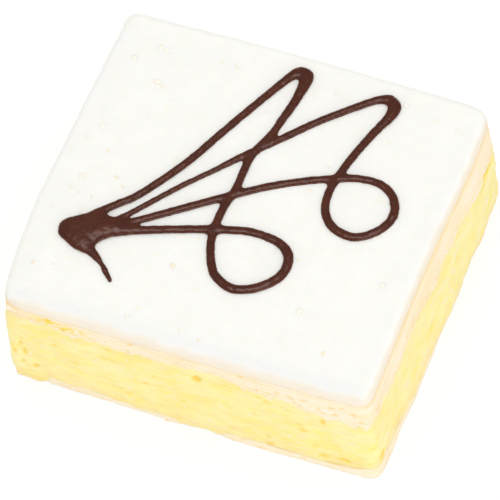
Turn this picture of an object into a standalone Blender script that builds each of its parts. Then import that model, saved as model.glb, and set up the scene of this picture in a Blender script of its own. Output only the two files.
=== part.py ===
"""Square slice of custard mille feuille: two sheets of flaky pastry around a thick block of
set custard, white icing on top and one looping line of piped chocolate.

Sizes below are in millimetres; the model is built in metres, +Z up, with the middle of the
slice's underside at the origin and the front cut face towards -Y.
"""
import bpy
import math
from mathutils import Vector

MM = 0.001

# The slice seen from above, anticlockwise from the front left corner: x, y and how far along
# both neighbouring sides the corner's curve reaches. The left side leans out to a soft knuckle.
CORNERS = (
    (-38.2, -36.0, 2.4),
    (-12.0, -36.3, 12.0),
    (24.0, -36.3, 12.0),
    (39.9, -35.9, 3.5),
    (39.3, -4.0, 14.0),
    (40.5, 24.5, 5.6),
    (39.8, 35.9, 4.6),
    (1.8, 36.45, 18.0),
    (-38.2, 35.5, 2.8),
    (-40.65, -17.5, 12.0),
)
CORNER_STEPS = 4
SIDE_STEP = 5.0

# Heights of the layers in the stack.
GAP = 0.3
BASE_TOP = 3.0
BASE_WAVE = 0.35
PASTRY_TOP = 28.2
ICING_BASE = PASTRY_TOP + GAP
ICING_TOP = 30.2
ICING_RIM = 1.5
DRIZZLE_BASE = ICING_TOP + GAP
FULL_HEIGHT = 31.5

# The cut faces lean in a little towards the top, the right one spreads further at its foot, and
# the custard swells past the pastry.
LEAN = 0.45
RIGHT_SPREAD = 0.7
HALF_WIDTH = 40.0
CUSTARD_SWELL = 0.3
PASTRY_STEP = 0.35

# The underside of the upper pastry: high at the left, lower at the right and lowest behind.
UNDERSIDE_MIDDLE = 22.0
UNDERSIDE_FALL_X = 0.055
UNDERSIDE_FALL_BACK = 0.05
UNDERSIDE_WAVE = 0.6

# Where the custard has sagged over the edge of the lower pastry: x, y, reach.
SAGS = ((-39.0, -34.0, 9.0), (1.5, -36.0, 5.5), (40.0, 12.0, 13.0), (38.0, 34.0, 16.0))
BASE_INSET = 0.7
SAG_INSET = 1.6
SAG_FOOT = 0.25

# Inner rings of the layers' wide faces, as fractions of the outline.
INNER_RINGS = (0.35, 0.7)

# The piped line as strokes that run into each other: x, y, width of the line.
STROKES = (
    # the pool where the line starts and ends
    ((-32.0, -17.0, 3.4), (-30.2, -16.3, 5.6), (-27.5, -15.1, 6.3), (-24.5, -13.6, 5.8),
     (-20.8, -12.3, 4.6), (-17.1, -11.9, 2.4)),
    # the drip that trails off from the pool
    ((-28.8, -18.1, 3.8), (-27.0, -18.8, 3.8), (-25.0, -19.7, 2.4), (-23.2, -20.8, 1.5),
     (-20.7, -22.9, 1.1), (-18.4, -25.2, 0.7)),
    # up to the left peak
    ((-26.0, -12.7, 2.5), (-19.8, -4.9, 1.7), (-13.8, 4.6, 1.6), (-9.3, 14.0, 1.6),
     (-4.6, 23.5, 1.7), (-2.2, 27.8, 2.0), (-0.3, 30.7, 2.5), (1.3, 31.3, 2.6)),
    # down from the left peak and round the lower loop
    ((0.5, 31.4, 2.4), (1.8, 30.5, 2.9), (1.7, 27.4, 2.4), (1.3, 23.5, 1.9), (0.5, 19.6, 1.7),
     (-0.1, 16.6, 1.8), (-2.3, 10.0, 1.7), (-2.5, 2.8, 1.7), (-3.3, -3.3, 1.7),
     (-2.6, -9.9, 1.8), (-0.2, -16.0, 2.0), (2.2, -18.3, 2.2), (4.9, -19.1, 2.2),
     (7.8, -18.3, 2.2), (10.7, -16.4, 2.3), (12.9, -13.6, 2.3), (13.4, -10.7, 2.1)),
    # back from the lower loop to the pool
    ((13.1, -13.2, 2.1), (13.4, -10.7, 2.3), (12.5, -8.2, 2.3), (10.1, -6.5, 2.1),
     (6.7, -5.9, 2.0), (3.0, -6.0, 1.9), (-3.2, -7.6, 2.1), (-10.5, -9.8, 2.1),
     (-18.3, -12.4, 3.0), (-22.1, -13.8, 3.6)),
    # up to the right peak
    ((-22.6, -11.7, 2.3), (-19.6, -8.4, 1.5), (-13.8, -1.3, 1.2), (-8.4, 4.8, 1.1),
     (-3.4, 10.4, 1.5), (1.5, 15.4, 1.6), (7.7, 22.0, 1.6), (14.2, 27.8, 1.7),
     (16.7, 29.7, 1.9), (19.0, 30.8, 2.5), (20.4, 30.5, 2.6)),
    # down from the right peak and round the upper loop
    ((19.2, 30.7, 2.3), (20.9, 29.6, 2.9), (20.6, 27.0, 2.5), (19.3, 23.7, 1.9),
     (17.1, 16.8, 1.7), (15.8, 10.2, 1.7), (15.8, 6.9, 1.8), (16.4, 3.6, 1.9),
     (18.3, 0.8, 2.0), (20.8, -0.6, 2.1), (23.7, -0.7, 2.1), (26.5, 0.9, 2.0),
     (28.7, 3.6, 2.0), (29.4, 6.7, 1.9), (28.5, 9.2, 1.8)),
    # back from the upper loop to the pool
    ((29.4, 5.7, 1.8), (29.0, 8.4, 1.9), (27.2, 10.9, 1.9), (24.3, 12.3, 1.9),
     (21.0, 12.3, 1.8), (17.9, 11.6, 1.8), (10.5, 8.6, 1.8), (3.0, 4.6, 1.8),
     (-3.6, 0.2, 1.8), (-10.1, -4.4, 1.8), (-17.1, -9.7, 2.0), (-20.8, -12.0, 2.7)),
)
STROKE_STEP = 2.0
STROKE_SIDES = 6
STROKE_RISE = 0.45
STROKE_SINK = 0.2
END_TAPER = 0.45


def clear_scene():
    for item in list(bpy.data.objects):
        bpy.data.objects.remove(item)


def curve_corner(before, corner, after, reach):
    """Points of a smooth corner between two sides, reaching the same way along both."""
    here = Vector(corner)
    start = here + (Vector(before) - here).normalized() * reach
    end = here + (Vector(after) - here).normalized() * reach
    points = []
    for step in range(CORNER_STEPS + 1):
        t = step / CORNER_STEPS
        points.append(start * (1 - t) ** 2 + here * 2 * t * (1 - t) + end * t ** 2)
    return points


def slice_outline():
    """The slice's outline from above, anticlockwise, with the straight runs divided up."""
    places = [(x, y) for x, y, reach in CORNERS]
    points = []
    for index, (x, y, reach) in enumerate(CORNERS):
        after = places[(index + 1) % len(places)]
        for point in curve_corner(places[index - 1], (x, y), after, reach):
            if points:
                run = (point - points[-1]).length
                parts = max(1, round(run / SIDE_STEP))
                start = points[-1]
                for part in range(1, parts):
                    points.append(start.lerp(point, part / parts))
            points.append(point)
    run = (points[0] - points[-1]).length
    parts = max(1, round(run / SIDE_STEP))
    start = points[-1]
    for part in range(1, parts):
        points.append(start.lerp(points[0], part / parts))
    return points


OUTLINE = slice_outline()


def sag(x, y):
    """How far the custard has sagged over the lower pastry, from 0 to 1."""
    total = 0.0
    for at_x, at_y, reach in SAGS:
        total += math.exp(-((x - at_x) ** 2 + (y - at_y) ** 2) / reach ** 2)
    return min(1.0, total)


def base_top(x, y):
    return BASE_TOP + BASE_WAVE * math.sin(x / 6.0 + 0.7) * math.cos(y / 7.5)


def underside(x, y):
    """The uneven underside of the upper pastry."""
    across = (x + 40.0) / 80.0
    fall = UNDERSIDE_FALL_X * x + UNDERSIDE_FALL_BACK * across * (y + 36.0)
    wave = math.sin(x / 3.9 + 1.0) * math.cos(y / 5.1) + 0.5 * math.sin(y / 2.9 - x / 9.0)
    return UNDERSIDE_MIDDLE - fall + UNDERSIDE_WAVE * wave


def ring(height, inset=0.0, fraction=1.0):
    """The outline moved in by an inset at a height: both a number or a function of x and y."""
    points = []
    for place in OUTLINE:
        distance = inset(place.x, place.y) if callable(inset) else inset
        flat = (place - place.normalized() * distance) * fraction
        level = height(flat.x, flat.y) if callable(height) else height
        lean = flat.normalized() * LEAN * level / FULL_HEIGHT * fraction
        spread = RIGHT_SPREAD * max(0.0, flat.x / HALF_WIDTH) ** 4 * (1 - level / FULL_HEIGHT)
        points.append(Vector((flat.x - lean.x + spread, flat.y - lean.y, level)))
    return points


def material(name, colour, roughness):
    look = bpy.data.materials.new(name)
    look.use_nodes = True
    shader = look.node_tree.nodes["Principled BSDF"]
    shader.inputs["Base Color"].default_value = (*colour, 1.0)
    shader.inputs["Roughness"].default_value = roughness
    return look


def loft(name, rings, look):
    """One closed solid through rings of equal count, closed by a fan at both ends.

    Each band's diagonals run from the narrower ring to the wider one, so that two layers that
    face each other across a gap have the same facets.
    """
    count = len(rings[0])
    verts = [point * MM for each in rings for point in each]
    faces = []
    for level in range(len(rings) - 1):
        low = level * count
        high = low + count
        widens = rings[level + 1][0].xy.length > rings[level][0].xy.length
        for index in range(count):
            after = (index + 1) % count
            if widens:
                faces.append((low + index, low + after, high + after))
                faces.append((low + index, high + after, high + index))
            else:
                faces.append((low + index, low + after, high + index))
                faces.append((low + after, high + after, high + index))
    first = len(verts)
    verts.append(sum(rings[0], Vector()) / count * MM)
    verts.append(sum(rings[-1], Vector()) / count * MM)
    last_ring = (len(rings) - 1) * count
    for index in range(count):
        after = (index + 1) % count
        faces.append((first, after, index))
        faces.append((first + 1, last_ring + index, last_ring + after))
    mesh = bpy.data.meshes.new(name)
    mesh.from_pydata(verts, [], faces)
    mesh.materials.append(look)
    item = bpy.data.objects.new(name, mesh)
    bpy.context.collection.objects.link(item)
    return item


def base_edge(x, y):
    return BASE_INSET + SAG_INSET * sag(x, y)


def lower_pastry():
    look = material("baked_pastry_base", (0.93, 0.76, 0.50), 0.7)
    rings = [ring(0.0, base_edge, fraction) for fraction in INNER_RINGS]
    rings.append(ring(0.0, base_edge))
    rings.append(ring(base_top, base_edge))
    rings += [ring(base_top, base_edge, fraction) for fraction in reversed(INNER_RINGS)]
    loft("base_pastry", rings, look)


def custard_block():
    look = material("set_custard", (0.98, 0.86, 0.36), 0.5)

    def under(x, y):
        return base_top(x, y) + GAP

    def lip(x, y):
        return BASE_TOP + (SAG_FOOT - BASE_TOP) * sag(x, y)

    def lip_round(x, y):
        return lip(x, y) + 1.0

    def over_base(x, y):
        return base_edge(x, y) - GAP

    def below_top(x, y):
        return underside(x, y) - 1.0

    rings = [ring(under, over_base, fraction) for fraction in INNER_RINGS]
    rings.append(ring(under, over_base))
    rings.append(ring(lip, over_base))
    rings.append(ring(lip_round, -CUSTARD_SWELL * 0.5))
    rings.append(ring(0.5 * (BASE_TOP + UNDERSIDE_MIDDLE), -CUSTARD_SWELL))
    rings.append(ring(below_top, 0.0))
    rings.append(ring(underside, PASTRY_STEP))
    rings += [ring(underside, 0.0, fraction) for fraction in reversed(INNER_RINGS)]
    loft("custard", rings, look)


def upper_pastry():
    look = material("baked_pastry_lid", (0.93, 0.78, 0.52), 0.7)

    def under(x, y):
        return underside(x, y) + GAP

    def lower_leaf(x, y):
        return under(x, y) + (PASTRY_TOP - under(x, y)) * 0.35

    def upper_leaf(x, y):
        return under(x, y) + (PASTRY_TOP - under(x, y)) * 0.7

    rings = [ring(under, 0.0, fraction) for fraction in INNER_RINGS]
    rings.append(ring(under, PASTRY_STEP))
    rings.append(ring(lower_leaf, 0.0))
    rings.append(ring(upper_leaf, PASTRY_STEP))
    rings.append(ring(PASTRY_TOP, 0.0))
    rings += [ring(PASTRY_TOP, 0.0, fraction) for fraction in reversed(INNER_RINGS)]
    loft("top_pastry", rings, look)


def icing_slab():
    """Poured icing, its rim turned over in a soft quarter round."""
    look = material("white_icing", (0.96, 0.95, 0.91), 0.35)
    rings = [ring(ICING_BASE, 0.3), ring(ICING_BASE + 0.15, 0.05)]
    for angle in (20, 45, 70, 90):
        turn = math.radians(angle)
        inset = ICING_RIM * (1 - math.cos(turn))
        rings.append(ring(ICING_TOP - ICING_RIM * (1 - math.sin(turn)), inset))
    loft("icing", rings, look)


def smooth_route(points):
    """A smooth curve through a stroke's points, with a width at each place on it."""
    marks = [Vector(point) for point in points]
    marks = [marks[0] * 2 - marks[1]] + marks + [marks[-1] * 2 - marks[-2]]
    route = []
    for index in range(1, len(marks) - 2):
        a, b, c, d = marks[index - 1:index + 3]
        parts = max(1, round((c.xy - b.xy).length / STROKE_STEP))
        for part in range(parts):
            t = part / parts
            route.append(b + (c - a) * t / 2 + (a * 2 - b * 5 + c * 4 - d) * t ** 2 / 2
                         + (b * 3 - a - c * 3 + d) * t ** 3 / 2)
    route.append(marks[-2])
    return route


def stroke(name, points, look):
    """One stroke of the line: a low dome across, round at both ends, sunk below its base."""
    route = smooth_route(points)
    rings = []
    for index, here in enumerate(route):
        ahead = route[min(index + 1, len(route) - 1)]
        behind = route[max(index - 1, 0)]
        along = (ahead.xy - behind.xy).normalized()
        across = Vector((along.y, -along.x))
        size = END_TAPER if index in (0, len(route) - 1) else 1.0
        half = here.z / 2 * size
        rise = min(here.z, 3.2) * STROKE_RISE * size + STROKE_SINK
        points_round = []
        for side in range(STROKE_SIDES):
            angle = math.pi * side / (STROKE_SIDES - 1)
            spot = here.xy + across * half * math.cos(angle)
            level = DRIZZLE_BASE - STROKE_SINK + rise * math.sin(angle)
            points_round.append(Vector((spot.x, spot.y, level)))
        rings.append(points_round)
    rings.reverse()
    return loft(name, rings, look)


def combine(item, other, operation):
    """Joins another solid to an item, or trims the item by it, and hides the other."""
    step = item.modifiers.new(operation.lower(), "BOOLEAN")
    step.operation = operation
    step.solver = "EXACT"
    step.object = other
    other.hide_render = True
    other.display_type = "WIRE"


def piped_chocolate():
    look = material("dark_chocolate", (0.11, 0.03, 0.022), 0.25)
    line = stroke("chocolate_drizzle", STROKES[0], look)
    for number, points in enumerate(STROKES[1:]):
        combine(line, stroke("stroke_%d" % number, points, look), "UNION")
    # Everything above the drizzle's base plane: trims the line's underside flat.
    bpy.ops.mesh.primitive_cube_add(size=100 * MM)
    above = bpy.context.active_object
    above.name = "above_base"
    above.location.z = (DRIZZLE_BASE + 50) * MM
    combine(line, above, "INTERSECT")


clear_scene()
lower_pastry()
custard_block()
upper_pastry()
icing_slab()
piped_chocolate()
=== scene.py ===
"""A slice of custard mille feuille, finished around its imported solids.

Lengths in the sections are millimetres and become metres where a mesh is made. The slice stands
on the floor at the origin, front cut face towards -Y, +Z up through the layers.
"""
import math

import bpy
import numpy as np
from mathutils import Matrix, Vector, noise


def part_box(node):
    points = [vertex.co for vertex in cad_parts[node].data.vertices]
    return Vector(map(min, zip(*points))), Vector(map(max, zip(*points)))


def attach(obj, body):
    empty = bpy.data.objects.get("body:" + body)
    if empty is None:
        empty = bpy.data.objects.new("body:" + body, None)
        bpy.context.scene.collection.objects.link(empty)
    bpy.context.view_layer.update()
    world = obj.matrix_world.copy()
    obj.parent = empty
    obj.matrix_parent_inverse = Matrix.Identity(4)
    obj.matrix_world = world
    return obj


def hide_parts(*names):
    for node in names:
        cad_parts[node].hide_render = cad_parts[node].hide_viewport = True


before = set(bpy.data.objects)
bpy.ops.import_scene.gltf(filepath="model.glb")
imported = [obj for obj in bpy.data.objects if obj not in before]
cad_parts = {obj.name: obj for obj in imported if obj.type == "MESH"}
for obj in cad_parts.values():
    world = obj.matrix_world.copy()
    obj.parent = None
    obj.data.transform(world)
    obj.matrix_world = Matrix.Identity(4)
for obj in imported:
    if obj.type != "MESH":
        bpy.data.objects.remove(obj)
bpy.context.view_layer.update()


# ------------------------------------------------------------------------------ lower pastry
# The bottom sheet of puff pastry, baked crisp and cut through by the knife. It carries the
# slice; the custard above has run down over its edge in several places.

MM = 0.001
COLUMNS = 860

# The slice from above, anticlockwise from the front left corner: x, y and the reach of the
# corner's curve along both sides, at the foot and up in the icing.
CORNERS = (
    (-38.3, -36.05, 1.4, 5.0),
    (-12.0, -36.3, 12.0, 12.0),
    (24.0, -36.3, 12.0, 12.0),
    (39.9, -35.9, 3.2, 3.8),
    (39.3, -4.0, 14.0, 14.0),
    (40.5, 24.5, 5.6, 5.6),
    (39.85, 35.9, 4.4, 5.0),
    (1.8, 36.45, 18.0, 18.0),
    (-38.2, 35.5, 2.8, 2.8),
    (-40.65, -17.5, 12.0, 12.0),
)
LEAN = 0.45
FULL_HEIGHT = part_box("chocolate_drizzle")[1].z / MM


def trace_outline(part):
    """Evenly spaced points round the slice and the outward direction at each."""
    corners = np.array([corner[:2] for corner in CORNERS])
    steps = np.linspace(0.0, 1.0, 25)[:, None]
    runs = []
    for index, corner in enumerate(CORNERS):
        here = corners[index]
        reach = corner[part]
        before = corners[index - 1] - here
        after = corners[(index + 1) % len(corners)] - here
        start = here + before / np.hypot(*before) * reach
        end = here + after / np.hypot(*after) * reach
        runs.append(start * (1 - steps) ** 2 + here * 2 * steps * (1 - steps) + end * steps ** 2)
    path = np.roll(np.vstack(runs), -12, axis=0)
    path = np.vstack([path, path[:1]])
    along = np.concatenate(([0.0], np.cumsum(np.hypot(*np.diff(path, axis=0).T))))
    places = np.linspace(0.0, along[-1], COLUMNS, endpoint=False)
    edge = np.stack([np.interp(places, along, path[:, axis]) for axis in (0, 1)], axis=1)
    ahead = np.roll(edge, -3, axis=0) - np.roll(edge, 3, axis=0)
    ahead /= np.hypot(*ahead.T)[:, None]
    return edge, np.stack([ahead[:, 1], -ahead[:, 0]], axis=1), places


EDGE, OUT, ROUND = trace_outline(2)
TOP_EDGE, TOP_OUT, _ = trace_outline(3)
# How far the right face spreads at its foot, by y, and over which heights the corners change.
spread = np.interp(EDGE[:, 1], (-36, -26, -14, 0, 8, 14), (0.0, 0.3, 0.8, 0.7, 0.5, 0.25))
spread *= np.clip(OUT[:, 0], 0, 1) ** 2
ROUNDER_FROM = 19.0
ROUNDER_OVER = 9.0


def ring(height, inset=0.0):
    """The outline as points at a height, moved in by an inset; both may vary round it."""
    height = np.broadcast_to(height, COLUMNS)[:, None]
    inset = np.broadcast_to(inset, COLUMNS)[:, None]
    part = height / FULL_HEIGHT
    rounder = np.clip((height - ROUNDER_FROM) / ROUNDER_OVER, 0, 1)
    edge = EDGE + (TOP_EDGE - EDGE) * rounder
    out = OUT + (TOP_OUT - OUT) * rounder
    flat = edge - out * (inset + LEAN * part - spread[:, None] * (1 - part))
    return np.column_stack([flat, height])


def height_line(front, right, back, left):
    """A height that runs round the slice, from marks along each cut face.

    Front and back marks are (x, height), right and left marks are (y, height).
    """
    marks = []
    for axis, facing, points in ((0, (0, -1), front), (1, (1, 0), right),
                                 (0, (0, 1), back), (1, (-1, 0), left)):
        on_face = np.flatnonzero(OUT @ np.array(facing) > 0.7)
        for place, height in points:
            nearest = on_face[np.argmin(np.abs(EDGE[on_face, axis] - place))]
            marks.append((nearest, height))
    marks = sorted(dict(marks).items())
    columns, heights = np.array(marks, float).T
    return np.interp(np.arange(COLUMNS), columns, heights, period=COLUMNS)


def rough(points, stretch, octaves=3, shift=0.0):
    """Fractal noise at the points, about -1 to 1, stretched by a size along each axis."""
    flat = points.reshape(-1, 3) / np.array(stretch) + shift
    values = [noise.fractal(Vector(spot), 1.0, 2.0, octaves) for spot in flat.tolist()]
    return np.array(values).reshape(points.shape[:-1])


def push(points, distance):
    """Rows of ring points moved outwards, each by its own distance."""
    moved = points.copy()
    moved[..., :2] += OUT * distance[..., None]
    return moved


def skin(name, rows, marks=None):
    """A closed mesh through rows of ring points, with a fan at the bottom and at the top."""
    rows = np.asarray(rows)
    count = len(rows)
    ends = np.array([rows[0].mean(axis=0), rows[-1].mean(axis=0)])
    verts = np.vstack([rows.reshape(-1, 3), ends]) * MM
    index = np.arange(count * COLUMNS).reshape(count, COLUMNS)
    after = np.roll(index, -1, axis=1)
    walls = np.stack([index[:-1], after[:-1], after[1:], index[1:]], axis=-1).reshape(-1, 4)
    low, high = count * COLUMNS, count * COLUMNS + 1
    faces = walls.tolist()
    faces += [(low, b, a) for a, b in zip(index[0].tolist(), after[0].tolist())]
    faces += [(high, a, b) for a, b in zip(index[-1].tolist(), after[-1].tolist())]
    mesh = bpy.data.meshes.new(name)
    mesh.from_pydata(verts.tolist(), [], faces)
    for title, values in (marks or {}).items():
        layer = mesh.attributes.new(title, "FLOAT", "POINT")
        padded = np.concatenate([np.asarray(values, float).ravel(), (0.0, 0.0)])
        layer.data.foreach_set("value", padded)
    mesh.shade_smooth()
    piece = bpy.data.objects.new(name, mesh)
    bpy.context.collection.objects.link(piece)
    return piece


class Wire:
    """A value inside a node tree, with the arithmetic that the finishes and trees use."""

    def __init__(self, tree, socket):
        self.tree = tree
        self.socket = socket

    def combine(self, operation, first, second):
        node = self.tree.nodes.new("ShaderNodeMath")
        node.operation = operation
        for slot, value in zip(node.inputs, (first, second)):
            feed(self.tree, slot, value)
        return Wire(self.tree, node.outputs[0])

    def __add__(self, other):
        return self.combine("ADD", self, other)

    def __sub__(self, other):
        return self.combine("SUBTRACT", self, other)

    def __rsub__(self, other):
        return self.combine("SUBTRACT", other, self)

    def __mul__(self, other):
        return self.combine("MULTIPLY", self, other)

    __radd__ = __add__
    __rmul__ = __mul__


def feed(tree, slot, value):
    """Links a wire to a socket, or writes a plain value there."""
    if isinstance(value, Wire):
        tree.links.new(value.socket, slot)
    else:
        slot.default_value = value


def add(tree, kind, settings=None, inputs=None, output=0):
    """Adds a node, sets it up, feeds its sockets and gives one of its outputs."""
    node = tree.nodes.new(kind)
    for title, value in (settings or {}).items():
        setattr(node, title, value)
    for title, value in (inputs or {}).items():
        feed(tree, node.inputs[title], value)
    return Wire(tree, node.outputs[output])


def rgb(red, green, blue):
    """A linear colour from display values of 0 to 255."""
    parts = []
    for value in (red, green, blue):
        value /= 255.0
        parts.append(value / 12.92 if value < 0.04045 else ((value + 0.055) / 1.055) ** 2.4)
    return (*parts, 1.0)


class Finish:
    """A material of one Principled shader, with the patterns that the layers share."""

    def __init__(self, name, **plain):
        self.material = bpy.data.materials.new(name)
        self.material.use_nodes = True
        self.tree = self.material.node_tree
        self.shader = self.tree.nodes["Principled BSDF"]
        self.place = add(self.tree, "ShaderNodeTexCoord", output="Object")
        for title, value in plain.items():
            self.shader.inputs[title.replace("_", " ")].default_value = value

    def grain(self, stretch, detail=3.0, shift=0.0, low=0.0, high=1.0):
        """Noise stretched by a size in millimetres along each axis, spread from low to high."""
        scale = tuple(1.0 / (size * MM) for size in stretch)
        spot = add(self.tree, "ShaderNodeMapping", {},
                   {"Vector": self.place, "Scale": scale, "Location": (shift, shift, shift)})
        value = add(self.tree, "ShaderNodeTexNoise", {},
                    {"Vector": spot, "Scale": 1.0, "Detail": detail})
        return self.span(value, low, high)

    def span(self, value, low, high):
        """A value's stretch from low to high as 0 to 1, eased at both ends."""
        return add(self.tree, "ShaderNodeMapRange", {"interpolation_type": "SMOOTHSTEP"},
                   {"Value": value, "From Min": low, "From Max": high})

    def mark(self, title):
        return add(self.tree, "ShaderNodeAttribute", {"attribute_name": title}, output="Fac")

    def axis(self, title):
        """The height or a side's coordinate, in millimetres."""
        return add(self.tree, "ShaderNodeSeparateXYZ", {}, {0: self.place}, title) * (1.0 / MM)

    def mix(self, factor, first, second):
        node = self.tree.nodes.new("ShaderNodeMix")
        node.data_type = "RGBA"
        feed(self.tree, node.inputs[0], factor)
        feed(self.tree, node.inputs[6], first)
        feed(self.tree, node.inputs[7], second)
        return Wire(self.tree, node.outputs[2])

    def bump(self, height, depth, strength=1.0):
        """Relief of a depth in millimetres."""
        return add(self.tree, "ShaderNodeBump", {},
                   {"Height": height, "Distance": depth * MM, "Strength": strength}, "Normal")

    def finish(self, **varied):
        for title, value in varied.items():
            feed(self.tree, self.shader.inputs[title.replace("_", " ")], value)
        return self.material


def pastry_finish(name, pale, middle, baked, brown):
    """Layered baked pastry: pale leaf edges, golden seams between them and browned pits."""
    look = Finish(name)
    leaves = look.grain((8.0, 8.0, 0.9), 2.5, low=0.36, high=0.64)
    wide = look.grain((11.0, 11.0, 4.0), 2.0, shift=5.0, low=0.4, high=0.7)
    specks = look.grain((1.1, 1.1, 0.7), 3.0, shift=9.0, low=0.56, high=0.72)
    colour = look.mix(leaves, middle, pale)
    colour = look.mix(wide * 0.3, colour, baked)
    colour = look.mix(specks * 0.35, colour, baked)
    colour = look.mix(look.mark("seam"), colour, baked)
    colour = look.mix(look.mark("browned"), colour, brown)
    colour = look.mix(look.mark("yolky"), colour, rgb(255, 223, 92))
    fine = look.grain((3.0, 3.0, 0.5), 3.0, shift=2.0)
    return look.finish(Base_Color=colour, Normal=look.bump(fine, 0.14, 0.35),
                       Roughness=0.55 + leaves * 0.15)


BASE_ROWS = 14
base_top_line = height_line(
    front=((-38, 2.6), (-33, 3.0), (-30, 3.7), (-22, 3.9), (-13, 2.7), (-8, 2.1), (-4, 2.6),
           (0, 2.0), (4, 1.8), (8, 2.4), (13, 2.9), (20, 2.5), (30, 2.6), (35, 3.3), (38, 4.1)),
    right=((-33, 4.2), (-24, 3.8), (-14, 2.9), (-4, 2.6), (4, 2.2), (20, 2.4), (33, 2.6)),
    back=((35, 2.8), (20, 3.3), (4, 2.6), (-12, 3.4), (-28, 2.7), (-36, 3.2)),
    left=((33, 3.3), (18, 2.7), (2, 3.5), (-14, 2.9), (-28, 2.6)),
)
# Where the custard hangs down over this sheet, 0 to 1 round the slice.
drape = height_line(
    front=((-37, 1), (-33, 1), (-30, 0), (-3, 0), (-0.5, 1), (4, 1), (7.5, 0), (38, 0)),
    right=((-33, 0), (-4, 0), (1.5, 1), (33, 1)),
    back=((36, 1), (28, 0.6), (22, 0), (-12, 0), (-16, 1), (-22, 1), (-26, 0), (-36, 0)),
    left=((33, 0), (12, 0), (8, 1), (2, 1), (-2, 0), (-22, 0), (-28, 1)),
)
base_ring = np.array([ring(0.0)])
base_top_line = base_top_line + 0.3 * rough(base_ring, (2.2, 2.2, 1), 3, 5.0)[0]
lift = np.clip(rough(base_ring, (6, 6, 1), 2, 3.0)[0], 0, 1) * 0.15
levels = np.linspace(0.0, 1.0, BASE_ROWS)[:, None]
base_rows = np.array([ring(lift + (base_top_line - lift) * level[0]) for level in levels])
leafing = rough(base_rows, (6.5, 6.5, 0.8), 2, 11.0)
crumble = rough(base_rows, (1.6, 1.6, 0.8), 3, 17.0)
edge_in = 0.06 + drape * 0.7 - 0.17 * leafing - 0.08 * crumble
edge_in += 0.12 * (1 - levels) ** 4
# The front edge of the sheet lies a little further in near the left corner.
along_front = np.interp(EDGE[:, 0], (-35, -31, -12, -4, 10), (0.0, 0.4, 0.35, 0.1, -0.05))
edge_in += along_front * np.clip(-OUT[:, 1], 0, 1) ** 2
base_rows = push(base_rows, -edge_in)
hidden_inset = 3.0
base_skin = np.concatenate([
    [ring(0.0, hidden_inset + 6.0), ring(0.0, hidden_inset)], base_rows,
    [ring(base_top_line + 0.1, hidden_inset)]])
browned = np.clip(rough(base_skin, (2.6, 2.6, 1.0), 2, 23.0) * 2.2 - 0.7, 0, 0.6)
top_seam = np.clip(1 - (base_top_line - base_skin[..., 2]) / 0.7, 0, 1)
base_pastry = skin("lower_pastry_sheet", base_skin, {"browned": browned, "seam": top_seam})
base_pastry.data.materials.append(pastry_finish(
    "pale baked pastry", rgb(255, 244, 224), rgb(255, 239, 208), rgb(255, 234, 184),
    rgb(252, 218, 150)))
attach(base_pastry, "root")
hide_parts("base_pastry")


# ------------------------------------------------------------------------------------ custard
# The block of set custard. The knife has smeared its cut faces along the layers, dragged out
# small pits and streaks, and let soft lips sag over the sheet below.

CUSTARD_ROWS = 62
SMALL_PITS = 230
PIT_DEPTH = 0.4
underside_line = height_line(
    front=((-37, 25.0), (-34, 25.3), (-31.5, 24.5), (-29.5, 25.6), (-23.8, 23.5), (-18.9, 24.6),
           (-11.7, 23.5), (-8.8, 24.1), (-6.9, 23.8), (-4.0, 24.4), (0.9, 24.6), (2.8, 25.4),
           (8.6, 25.1), (11.2, 24.0), (12.5, 23.3), (15.4, 23.0), (18.5, 22.3), (19.7, 22.9),
           (22.1, 23.4), (23.3, 22.4), (25.0, 21.3), (27.0, 21.3), (30.5, 20.2), (33.2, 21.3),
           (35.8, 19.1), (37.1, 20.7), (38.5, 19.2)),
    right=((-33.2, 21.6), (-31.0, 20.3), (-28.4, 21.9), (-23.6, 19.3), (-18.7, 19.4),
           (-13.9, 21.0), (-9.1, 20.8), (-4.3, 18.8), (0.6, 17.8), (4.4, 19.9), (10.2, 18.4),
           (14.1, 20.0), (18.0, 18.2), (24.0, 16.8), (27.0, 18.4), (32.5, 18.4)),
    back=((36, 18.4), (28, 19.6), (20, 18.6), (12, 20.8), (5, 20.2), (-4, 22.4), (-12, 21.4),
          (-22, 23.2), (-30, 22.2), (-36, 23.6)),
    left=((33, 23.4), (26, 22.4), (17, 23.4), (8, 22.0), (0, 23.8), (-9, 22.8), (-17, 24.2),
          (-26, 23.4), (-31, 24.8)),
)
teeth = 0.5 * rough(np.array([ring(0.0)]), (1.5, 1.5, 1), 2, 31.0)[0]
teeth += 0.3 * rough(np.array([ring(0.0)]), (0.5, 0.5, 1), 2, 37.0)[0]
teeth -= 0.5 * np.clip(rough(np.array([ring(0.0)]), (0.9, 0.9, 1), 1, 41.0)[0] * 2 - 0.5, 0, 1)
underside_line = underside_line + teeth

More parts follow.
